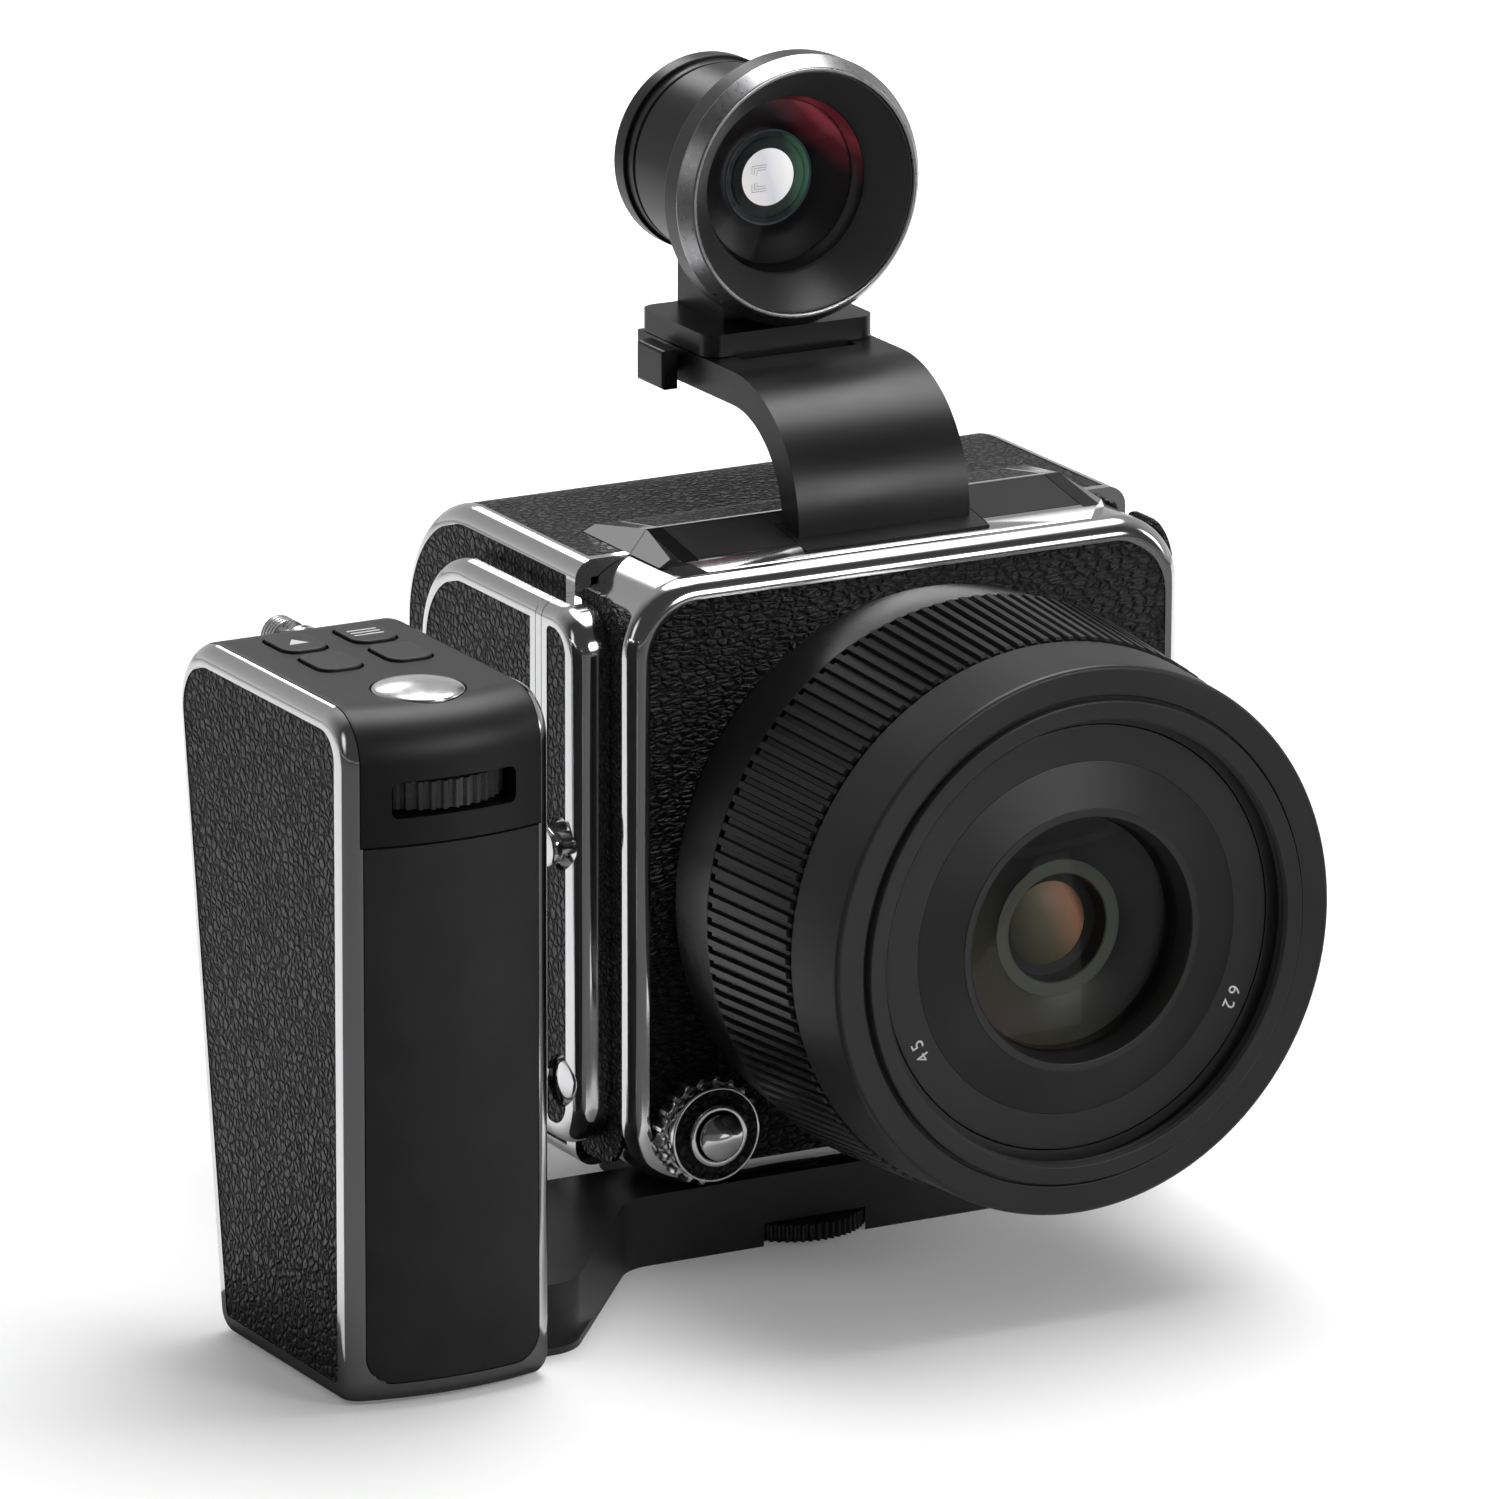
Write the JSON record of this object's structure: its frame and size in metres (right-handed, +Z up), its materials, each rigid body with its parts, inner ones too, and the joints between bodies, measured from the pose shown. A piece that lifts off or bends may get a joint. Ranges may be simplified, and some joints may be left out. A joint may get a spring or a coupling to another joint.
{
  "type": "medium format digital camera",
  "caption": "Box-shaped medium format digital camera with leather-covered body, large lens, side hand grip on a base plate and an optical finder on a curved bracket.",
  "frame": {"origin": "centre of the tripod socket's mouth in the underside of the base plate, which is also the table plane", "axes": "+Z up, -Y out of the lens towards the subject, +X to the right as seen from the front, away from the hand grip"},
  "size_m": [0.1523, 0.1223, 0.1603],
  "materials": {
    "chrome": "polished",
    "black_leather": "grained, matt",
    "black_satin_metal": "satin",
    "black_anodised": "satin, anodised",
    "black_plastic": "matt",
    "black_rubber": "fine grain, matt",
    "steel": "satin",
    "lens_glass": "coated",
    "finder_glass": "coated",
    "screen_glass": "gloss",
    "circuit": "lacquered board",
    "battery_plastic": "satin"
  },
  "bodies": {
    "camera": {"front_frame": "chrome", "front_leathers": "black_leather", "front_pad": "chrome", "pad_leathers": "black_leather", "strap_lugs": "chrome", "release_bezel": "chrome", "top_cover": "chrome", "shoe_plate": "black_satin_metal", "hump_rear": "chrome", "hump_leather": "black_leather", "back_housing": "chrome", "back_leathers": "black_leather", "back_pad": "chrome", "sensor_unit": "circuit", "circuit_boards": "circuit", "battery": "battery_plastic", "rear_panel": "black_plastic", "body_mount_ring": "steel", "lens_mount": "steel", "lens_rear_barrel": "black_anodised", "lens_front_barrel": "black_anodised", "name_ring": "black_anodised", "front_element": "lens_glass", "inner_elements": "lens_glass", "aperture_diaphragm": "black_anodised", "bracket": "black_satin_metal", "finder_foot": "black_satin_metal", "finder_barrel": "black_satin_metal", "finder_front_ring": "black_satin_metal", "finder_bezel": "chrome", "finder_lenses": "finder_glass", "finder_eyepiece": "black_satin_metal", "base_plate": "black_satin_metal", "grip_frame": "chrome", "grip_front_pad": "black_rubber", "grip_leathers": "black_leather", "grip_cap": "black_satin_metal", "grip_screws": "steel"},
    "focus_ring": {"focus_ring": "black_anodised"},
    "release_button": {"release_button": "chrome"},
    "control_wheel": {"control_wheel": "chrome"},
    "side_release_button": {"side_release_button": "chrome"},
    "battery_door": {"battery_door": "black_leather"},
    "screen": {"screen_frame": "black_satin_metal", "screen_glass": "screen_glass"},
    "finder_lock_button": {"finder_lock_button": "black_satin_metal"},
    "thumb_wheel": {"thumb_wheel": "steel"},
    "grip_shutter_button": {"grip_shutter_button": "chrome"},
    "grip_front_wheel": {"grip_front_wheel": "steel"},
    "joystick_gimbal": {"joystick_gimbal": "steel"},
    "joystick": {"joystick_stem": "steel", "joystick": "steel"},
    "rear_button_1": {"rear_button_1": "black_plastic"},
    "grip_button_1": {"grip_button_1": "black_satin_metal"},
    "rear_button_2": {"rear_button_2": "black_plastic"},
    "grip_button_2": {"grip_button_2": "black_satin_metal"},
    "rear_button_3": {"rear_button_3": "black_plastic"},
    "grip_button_3": {"grip_button_3": "black_satin_metal"},
    "rear_button_4": {"rear_button_4": "black_plastic"},
    "grip_button_4": {"grip_button_4": "black_satin_metal"}
  },
  "joints": [
    {"name": "focus_turn", "type": "hinge", "parent": "camera", "child": "focus_ring", "pos_m": [0, -0.056, 0.05365], "axis": [0, 1, 0], "continuous": true},
    {"name": "control_wheel_turn", "type": "hinge", "parent": "camera", "child": "control_wheel", "pos_m": [-0.0329, -0.0317, 0.0191], "axis": [0, 1, 0], "continuous": true},
    {"name": "release_press", "type": "slide", "parent": "camera", "child": "release_button", "axis": [0, 1, 0], "range_m": [0, 0.0012], "stiffness_N_per_m": 250},
    {"name": "side_release_press", "type": "slide", "parent": "camera", "child": "side_release_button", "axis": [1, 0, 0], "range_m": [0, 0.001], "stiffness_N_per_m": 250},
    {"name": "battery_door_hinge", "type": "hinge", "parent": "camera", "child": "battery_door", "pos_m": [0.0425, -0.0046, 0.0411], "axis": [0, 0, -1], "range_deg": [0, 95]},
    {"name": "screen_hinge", "type": "hinge", "parent": "camera", "child": "screen", "pos_m": [0, 0.04075, 0.071], "axis": [1, 0, 0], "range_deg": [0, 90]},
    {"name": "finder_lock_press", "type": "slide", "parent": "camera", "child": "finder_lock_button", "axis": [1, 0, 0], "range_m": [0, 0.0008], "stiffness_N_per_m": 250},
    {"name": "thumb_wheel_turn", "type": "hinge", "parent": "camera", "child": "thumb_wheel", "pos_m": [-0.0147, -0.0222, 0.002], "axis": [0, 0, 1], "continuous": true},
    {"name": "shutter_press", "type": "slide", "parent": "camera", "child": "grip_shutter_button", "axis": [0, 0, -1], "range_m": [0, 0.001], "stiffness_N_per_m": 250},
    {"name": "front_wheel_turn", "type": "hinge", "parent": "camera", "child": "grip_front_wheel", "pos_m": [-0.0906, -0.0564, 0.0844], "axis": [0, 0, 1], "continuous": true},
    {"name": "joystick_tilt_up", "type": "hinge", "parent": "camera", "child": "joystick_gimbal", "pos_m": [-0.0882, -0.0198, 0.0922], "axis": [1, 0, 0], "range_deg": [-7, 7], "stiffness_Nm_per_rad": 0.02},
    {"name": "joystick_tilt_side", "type": "hinge", "parent": "joystick_gimbal", "child": "joystick", "pos_m": [-0.0882, -0.0198, 0.0922], "axis": [0, 0, 1], "range_deg": [-7, 7], "stiffness_Nm_per_rad": 0.02},
    {"name": "rear_button_1_press", "type": "slide", "parent": "camera", "child": "rear_button_1", "axis": [0, -1, 0], "range_m": [0, 0.0005], "stiffness_N_per_m": 200},
    {"name": "grip_button_1_press", "type": "slide", "parent": "camera", "child": "grip_button_1", "axis": [0, 0, -1], "range_m": [0, 0.0006], "stiffness_N_per_m": 200},
    {"name": "rear_button_2_press", "type": "slide", "parent": "camera", "child": "rear_button_2", "axis": [0, -1, 0], "range_m": [0, 0.0005], "stiffness_N_per_m": 200},
    {"name": "grip_button_2_press", "type": "slide", "parent": "camera", "child": "grip_button_2", "axis": [0, 0, -1], "range_m": [0, 0.0006], "stiffness_N_per_m": 200},
    {"name": "rear_button_3_press", "type": "slide", "parent": "camera", "child": "rear_button_3", "axis": [0, -1, 0], "range_m": [0, 0.0005], "stiffness_N_per_m": 200},
    {"name": "grip_button_3_press", "type": "slide", "parent": "camera", "child": "grip_button_3", "axis": [0, 0, -1], "range_m": [0, 0.0006], "stiffness_N_per_m": 200},
    {"name": "rear_button_4_press", "type": "slide", "parent": "camera", "child": "rear_button_4", "axis": [0, -1, 0], "range_m": [0, 0.0005], "stiffness_N_per_m": 200},
    {"name": "grip_button_4_press", "type": "slide", "parent": "camera", "child": "grip_button_4", "axis": [0, 0, -1], "range_m": [0, 0.0006], "stiffness_N_per_m": 200}
  ]
}
